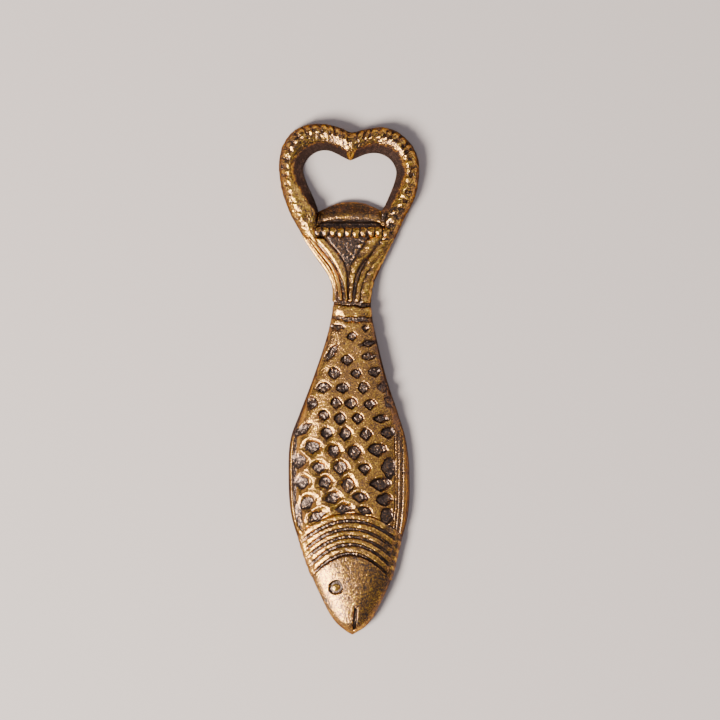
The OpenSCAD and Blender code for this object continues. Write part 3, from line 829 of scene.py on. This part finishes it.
def make_bead_bar():
    """Crossbar: beads that hang from a rod, cast as one string."""
    start = BEAD_FIRST_X - BEAD_PITCH / 2
    x = np.arange(start, BEAD_FIRST_X + BEAD_PITCH * (BEAD_COUNT - 0.5), 0.09)
    phase = (x - BEAD_FIRST_X) / BEAD_PITCH
    nearest = np.clip(np.round(phase), 0, BEAD_COUNT - 1).astype(int)
    left_two = np.arange(BEAD_COUNT) < 2
    size = (1 + 0.14 * rng.uniform(-1, 1, BEAD_COUNT) - 0.2 * left_two)[nearest]
    bulge = np.sqrt(np.clip(1 - (2 * (phase - nearest)) ** 2, 0, 1)) * size
    sway = 0.15 * rng.uniform(-1, 1, BEAD_COUNT)[nearest]
    a = np.linspace(0, 2 * math.pi, 48, endpoint=False)[None, :]
    upper = smooth(-0.3, 0.6, np.cos(a))
    bulge = bulge[:, None]
    ry = mix(0.4 + 1.15 * bulge, 1.2 + 0.3 * bulge, upper)
    rz = mix(0.6 + 0.68 * bulge, 0.85 + 0.45 * bulge, upper)
    px = x[:, None] + 0 * a
    rough = grain(px * 1.2, a * 1.6 + 0 * px, 111)
    py = BAR_Y + sway[:, None] + (ry + 0.1 * rough) * np.cos(a)
    pz = BAR_Z + (rz + 0.1 * rough) * np.sin(a)
    wear_and_shade = 0.08 + 0.72 * smooth(0.5, 0.95, bulge + 0.25 * upper) + 0.2 * rough
    wear_and_shade = wear_and_shade - 0.5 * smooth(0.6, 0.1, np.sin(a))
    loft("bead_bar_casting", np.stack([px, py, pz], -1), wear_and_shade, "bead_bar", BRASS)


# ---------------------------------------------------------------- lip

# Knots (x, y) of the lip's free edge.
LIP = [(-9.3, 47.4), (-6.6, 48.6), (-3.4, 49.9), (0.2, 50.3), (3.8, 49.9), (6.7, 48.8), (9.3, 47.5)]
LIP_ROOT_Y = 43.2
LIP_HALF = 10.2       # half its length, with the ends that are sunk in the arms


def resample(points, n):
    """Points spread evenly along a smooth curve through the given ones."""
    points = np.asarray(points, float)
    k = np.arange(len(points))
    dense = through([(i, *p) for i, p in zip(k, points)], np.linspace(0, k[-1], 40 * len(points)))
    step = np.r_[0, np.cumsum(np.linalg.norm(np.diff(dense, axis=0), axis=1))]
    at = np.linspace(0, step[-1], n)
    return np.stack([np.interp(at, step, dense[:, d]) for d in range(dense.shape[1])], -1)


def lip_ring(x):
    """Section of the lip at x as (y, z) points, and its wear with some painted shade."""
    edge = float(through(LIP, np.clip(x, LIP[0][0], LIP[-1][0])))
    swell = max(1 - (x / 8.6) ** 2, 0) ** 0.5
    ridge_y = 44.3 + 1.75 * swell
    corner = float(smooth(7.6, 9.6, abs(x)))
    ring = resample([
        (LIP_ROOT_Y, 0), (LIP_ROOT_Y, 2.2), (43.3, 3.2 + corner), (44.0, 3.1 + 1.3 * corner),
        (mix(44.0, ridge_y, 0.45), 3.2 + 0.62 * swell + 1.3 * corner),
        (ridge_y, 3.3 + swell + 1.2 * corner), (ridge_y + 1.1, 3.1 + 0.9 * swell + 0.7 * corner),
        (mix(ridge_y, edge, 0.66), 2.75), (edge - 0.55, 2.25), (edge - 0.12, 1.8),
        (edge, 1.25), (edge - 0.1, 0.5), (edge - 0.4, 0)], 84)
    y, z = ring.T
    on_ridge = np.exp(-((y - ridge_y - 0.3) / 0.9) ** 2) * swell ** 0.5 * (z > 2.4)
    # The foot below the ridge is darker: partly the patina of the hollow before the beads, partly painted
    # shade that dims the highlight on the ridge's lower side.
    foot = smooth(ridge_y - 0.3, ridge_y - 1.0, y)
    return ring, 0.42 + 0.14 * on_ridge - 0.24 * foot * (1 - corner) + 0.2 * corner


def make_lip():
    """Half-moon tongue: a crescent ridge at its root, then a slope down to the thin edge."""
    rings, wear_and_shade = [], []
    for x in np.linspace(-LIP_HALF, LIP_HALF, 118):
        ring, worn = lip_ring(x)
        rings.append(np.column_stack([np.full(len(ring), x), ring]))
        wear_and_shade.append(worn)
    rings, wear_and_shade = np.array(rings), np.array(wear_and_shade)
    rough = grain(rings[..., 0], rings[..., 1] + 0.7 * rings[..., 2], 121)
    rings[..., 2] += 0.045 * rough * (rings[..., 2] > 1.0)
    loft("cap_lip_casting", rings, wear_and_shade + 0.26 * rough, "cap_lip", PATINA)


# ---------------------------------------------------------------- heart loop

# Stations around the loop: outer edge (x, y) and inner edge (x, y), from the left shoulder clockwise.
STATIONS = [
    (-9.8, 35.6, -5.6, 37.0), (-13.1, 40.2, -8.4, 41.4), (-15.45, 44.1, -8.9, 45.0),
    (-16.8, 46.6, -9.0, 47.5),
    (-18.3, 50.3, -10.4, 51.5), (-19.5, 54.3, -12.1, 55.2), (-20.05, 58.3, -13.15, 58.4),
    (-20.1, 61.8, -13.1, 60.5), (-19.2, 66.0, -11.9, 62.7), (-16.9, 69.6, -10.0, 64.2),
    (-13.6, 71.7, -7.9, 64.9), (-9.9, 72.45, -5.8, 64.8), (-6.1, 72.2, -3.8, 64.0),
    (-2.6, 71.2, -1.9, 63.0), (0.4, 70.0, 0.1, 62.2), (3.2, 70.6, 2.1, 62.9),
    (6.2, 71.2, 4.3, 63.8), (9.7, 71.4, 6.6, 64.2), (13.2, 70.3, 8.8, 63.9),
    (16.4, 67.8, 10.9, 62.8), (18.7, 64.3, 12.4, 61.0), (19.6, 60.2, 13.1, 58.8),
    (19.4, 55.9, 12.6, 55.9), (18.4, 51.6, 11.2, 52.2), (17.0, 48.4, 9.9, 49.3),
    (15.8, 46.4, 9.0, 47.6), (14.65, 44.0, 8.8, 45.2), (12.85, 40.2, 8.4, 41.6),
    (10.1, 35.8, 5.4, 37.2),
]
# By station number: width of the dark inner wall, share of the full height, height at the inner edge.
WALL = [(0, 0.4), (2, 0.5), (3, 0.8), (4, 1.8), (6, 2.5), (9, 2.5), (12, 2.2), (14, 1.9), (17, 2.3),
        (20, 2.3), (22, 2.0), (24, 1.7), (25, 1.5), (26, 1.1), (27, 0.6), (28, 0.4)]
HEIGHT = [(0, 0.55), (1, 0.72), (2, 0.88), (3.5, 1), (24, 1), (26, 0.9), (27, 0.75), (28, 0.55)]
TOE = [(0, 4.4), (2.3, 4.2), (4.2, 1.25), (24, 1.25), (25.4, 4.0), (28, 4.4)]
CLEFT = 14            # station between the lobes
LOOP_PARTS = [("loop_arm_left", 0, 6.4), ("loop_lobe_left", 6.4, CLEFT),
              ("loop_lobe_right", CLEFT, 21.2), ("loop_arm_right", 21.2, len(STATIONS) - 1)]
RING_POINTS = 104     # points round a section of the loop
FULL_WIDTH = 5.0      # where the loop is narrower than this, the section is squeezed


def loop_curve(s):
    """Outer and inner edge of the loop at station numbers s."""
    both = through([(k, *p) for k, p in enumerate(STATIONS)], s)
    return both[..., :2], both[..., 2:]


def loop_length():
    """A fine set of station numbers, and the length along the crest at each."""
    s = np.linspace(0, len(STATIONS) - 1, 2600)
    outer, inner = loop_curve(s)
    crest = mix(outer, inner, 0.3)
    return s, np.r_[0, np.cumsum(np.linalg.norm(np.diff(crest, axis=0), axis=1))]


def loop_section(w, wall, toe):
    """Closed section of a loop of width w as (distance in from the outer edge, height)."""
    g = w - wall
    full = float(smooth(1.8, 0.8, wall))
    brink = 4.35 + 0.8 * full
    return resample([
        (0.42, 0), (0.08, 0.3), (0.0, 1.1), (0.03, 2.4), (0.28, 3.7), (0.8, 4.9), (1.5, 5.75),
        (2.3, 6.15), (mix(2.3, g, 0.4), 6.0 + 0.1 * full), (g - 0.5, 5.2 + 0.6 * full), (g, brink),
        (g + 0.3 * wall, mix(brink, toe, 0.35)), (g + 0.65 * wall, mix(brink, toe, 0.73)),
        (w - 0.12, toe), (w - 0.02, toe - 0.45), (w - 0.02, 0.45),
        (w - 0.2, 0.12), (w - 0.5, 0),
        (mix(0.42, w - 0.5, 0.5), 0)], RING_POINTS)


def notch_form(station):
    """Form of the notches at a station (inset, half length across, half width, depth), and their pitch."""
    if station < 5.5:
        return (1.7, 0.5, 0.36, 0.4), 2.6
    if station < 9.5:
        return (1.6, 0.95, 0.46, 0.6), 2.4
    if station < 20:
        return (1.4, 1.4, 0.4, 0.55), 2.05
    return (2.0, 0.85, 0.55, 0.65), 2.5


def loop_pits():
    """Notches across the crest: (length along it, inset, half length across, half width, depth)."""
    s, length = loop_length()
    pits = []
    at = np.interp(1.6, s, length)
    while at < np.interp(27, s, length):
        form, pitch = notch_form(np.interp(at, length, s))
        vary = rng.uniform(0.85, 1.15, 5)
        pits.append((at + 2 * (vary[0] - 1), *(form * vary[1:])))
        at += pitch
    return np.array(pits)


PITS = loop_pits()


def notch_relief(where, t):
    """Depth of the notches, and how much the metal swells beside each of them."""
    dent, swell = np.zeros_like(t), np.zeros_like(t)
    for at, inset, half, width, depth in PITS:
        beside = np.exp(-((where - at) / width) ** 2)
        inside = smooth(half + 0.35, half - 0.3, np.abs(t - inset + 0.25 * (where - at)))
        dent = np.maximum(dent, depth * beside * inside)
        mound = np.exp(-((where - at - 1.0) / 0.55) ** 2 - ((t - inset - 1.3) / 0.7) ** 2)
        swell = np.maximum(swell, mound)
    return dent, swell


def loop_wear_and_shade(s, where, t, z, gold_width, rough, dent, mounds):
    """Wear of the loop with painted shade in places, and where it is golden: on the crest, not on the dark
    inner wall.
    """
    border = 0.3 * noise(where, t * 0.4, 1.3, 133) + 0.3 * noise(where, t, 0.35, 134)
    golden = smooth(0.6, -0.5, t - gold_width + 0.25 + border) * (z > 0.05)
    wear_and_shade = 0.76 * golden - 0.03 + 0.2 * rough - 0.75 * dent * golden + 0.5 * mounds
    # Painted shade: the low outer side of the crest is darker, to damp the bright floor it reflects.
    wear_and_shade = wear_and_shade - 0.3 * smooth(5.5, 4.5, z) * smooth(1.6, 1.0, t) * golden
    # Painted shade that dims the highlights on the lower right arm and on the inner half of the lobes.
    low_right = smooth(23.4, 24.6, s)[:, None] * smooth(0.8, 1.6, t)
    inner_lobe = (smooth(7, 8.5, s) * smooth(21, 19.5, s))[:, None] * smooth(1.2, 2.2, t)
    wear_and_shade = wear_and_shade - 0.24 * low_right * golden - 0.2 * inner_lobe * golden
    return wear_and_shade + 0.26 * smooth(23.6, 24.8, s)[:, None] * (1 - golden), golden


def make_loop_part(name, start, end):
    """Stretch of the loop between two stations: sections across it, then notches and grain."""
    fine_s, fine_length = loop_length()
    first, last = np.interp([start, end], fine_s, fine_length)
    along = np.linspace(first, last, int((last - first) / 0.2) + 1)
    s = np.interp(along, fine_length, fine_s)
    outer, inner = loop_curve(s)
    wall, height = through(WALL, s), through(HEIGHT, s)
    width = np.linalg.norm(inner - outer, axis=1)
    inward = (inner - outer) / width[:, None]
    fit = np.maximum(width, FULL_WIDTH)
    section = np.array([loop_section(*form) for form in zip(fit, wall, through(TOE, s))])
    t = section[..., 0] * (width / fit)[:, None]
    z = section[..., 1]
    where = along[:, None] + 0 * t
    gold_width = (width - wall)[:, None]
    upper = smooth(2.2, 3.2, z)
    crest = smooth(0.2, 1.2, t) * smooth(0.3, -0.6, t - gold_width) * upper
    dent, swell = notch_relief(where, t)
    dent = dent * upper
    mounds = (0.08 * noise(t * 1.2 + 0.1 * z, where, 0.9, 131) + 0.24 * swell) * crest
    rough = grain(t + 0.6 * z, where, 132)
    tangent = np.gradient(np.stack([t, z], -1), axis=1)
    tangent /= np.linalg.norm(tangent, axis=-1)[..., None] + 1e-9
    push = (0.13 * rough + mounds - dent) * smooth(0.4, 1.0, z)
    moved_in = t - push * tangent[..., 1]
    raised = np.maximum(z + push * tangent[..., 0], 0) * height[:, None]
    points = outer[:, None] + inward[:, None] * moved_in[..., None]
    rings = np.concatenate([points, raised[..., None]], -1)[:, ::-1]
    wear_and_shade, golden = loop_wear_and_shade(s, where, t, z, gold_width, rough, dent, mounds)
    grit = mix(0.35, 1.0, golden)[:, ::-1].reshape(-1)
    loft(f"{name}_casting", rings, wear_and_shade[:, ::-1], name, BRASS, grit)


# Knots of the point between the lobes: (y, half width), (y, height) and (y, x of its middle).
CUSP_HALF = [(69.3, 1.2), (68, 2.9), (66.5, 3.1), (65, 2.2), (63.6, 1.15), (62.5, 0.55), (62.1, 0.22)]
CUSP_TOP = [(69.3, 4.6), (68, 5.9), (66.5, 6.0), (65, 5.5), (63.6, 4.6), (62.6, 3.3), (62.1, 1.8)]
CUSP_MIDDLE = [(69.3, 0.4), (66, 0.2), (62.1, 0.1)]
CUSP_FLOOR = 0.8      # height from which the point's section bulges up


def make_cusp():
    """Raised point between the lobes: a ridge that narrows and falls to the opening."""
    ys = np.linspace(CUSP_HALF[0][0], CUSP_HALF[-1][0], 46)
    half, top, middle = through(CUSP_HALF, ys), through(CUSP_TOP, ys), through(CUSP_MIDDLE, ys)
    a = np.linspace(-0.15 * math.pi, 1.15 * math.pi, 48)
    rings, wear_and_shade = [], []
    for y, h, z, m in zip(ys, half, top, middle):
        px = m - h * np.cos(a)
        pz = CUSP_FLOOR + (z - CUSP_FLOOR) * np.maximum(np.sin(a), -0.3)
        rough = grain(px, np.full_like(px, y), 141)
        pz = pz + 0.07 * rough * (np.sin(a) > 0.1)
        rings.append(np.column_stack([px, np.full_like(px, y), np.maximum(pz, 0.1)]))
        wear_and_shade.append(0.55 + 0.3 * smooth(0.1, 0.6, np.sin(a)) + 0.2 * rough)
    loft("loop_cusp_casting", np.array(rings), np.array(wear_and_shade), "loop_cusp", BRASS)


# ---------------------------------------------------------------- assembly

make_trunk()
make_scale_net()
for band in range(len(GROOVES)):
    make_gill_band(band)
make_left_fin()
make_right_fin()
make_head()
make_eye()
make_collar()
make_tail_plate()
make_ribs("left", RIBS_LEFT, 0)
make_ribs("right", RIBS_RIGHT, 1)
make_throat()
make_bead_bar()
make_lip()
for part in LOOP_PARTS:
    make_loop_part(*part)
make_cusp()


# ---------------------------------------------------------------- floor, light and camera

VIEW_W = 0.2047       # width of the floor that the camera sees, in metres
VIEW_CENTRE = (0.00284, 0.0054)
CAMERA_Z = 1.4        # metres above the floor
SENSOR_MM = 36


def make_floor():
    """Square of pale paper, six metres wide."""
    mesh = bpy.data.meshes.new("floor")
    half = 3.0
    corners = [(-half, -half, 0), (half, -half, 0), (half, half, 0), (-half, half, 0)]
    mesh.from_pydata(corners, [], [(0, 1, 2, 3)])
    floor = bpy.data.objects.new("floor", mesh)
    bpy.context.collection.objects.link(floor)
    material = bpy.data.materials.new("floor_paper")
    material.use_nodes = True
    shader = material.node_tree.nodes["Principled BSDF"]
    shader.inputs["Base Color"].default_value = (0.530, 0.455, 0.472, 1)
    shader.inputs["Roughness"].default_value = 0.9
    mesh.materials.append(material)


def area_light(name, place, size, power, colour):
    """Soft round lamp that faces the object."""
    data = bpy.data.lights.new(name, "AREA")
    data.shape = "DISK"
    data.size = size
    data.energy = power
    data.color = colour
    lamp = bpy.data.objects.new(name, data)
    lamp.location = place
    lamp.rotation_euler = (-Vector(place)).to_track_quat("-Z", "Y").to_euler()
    bpy.context.collection.objects.link(lamp)


def make_lights():
    world = bpy.data.worlds.new("studio")
    bpy.context.scene.world = world
    world.use_nodes = True
    sky = world.node_tree.nodes["Background"]
    sky.inputs["Color"].default_value = (0.95, 0.96, 1.0, 1)
    sky.inputs["Strength"].default_value = 0.25
    area_light("key", (-0.74, -0.54, 0.92), 0.54, 56, (1.0, 0.97, 0.82))
    area_light("fill", (0.9, 0.7, 0.9), 0.8, 3, (0.93, 0.97, 1.0))
    area_light("overhead", (0.15, 0.25, 1.8), 1.3, 1.9, (1.0, 0.98, 0.96))


def make_camera():
    """Camera straight above, framed like the photo."""
    data = bpy.data.cameras.new("camera")
    data.sensor_width = SENSOR_MM
    data.lens = data.sensor_width * CAMERA_Z / VIEW_W
    data.clip_end = 20
    camera = bpy.data.objects.new("camera", data)
    camera.location = (*VIEW_CENTRE, CAMERA_Z)
    bpy.context.collection.objects.link(camera)
    bpy.context.scene.camera = camera


make_floor()
make_lights()
make_camera()
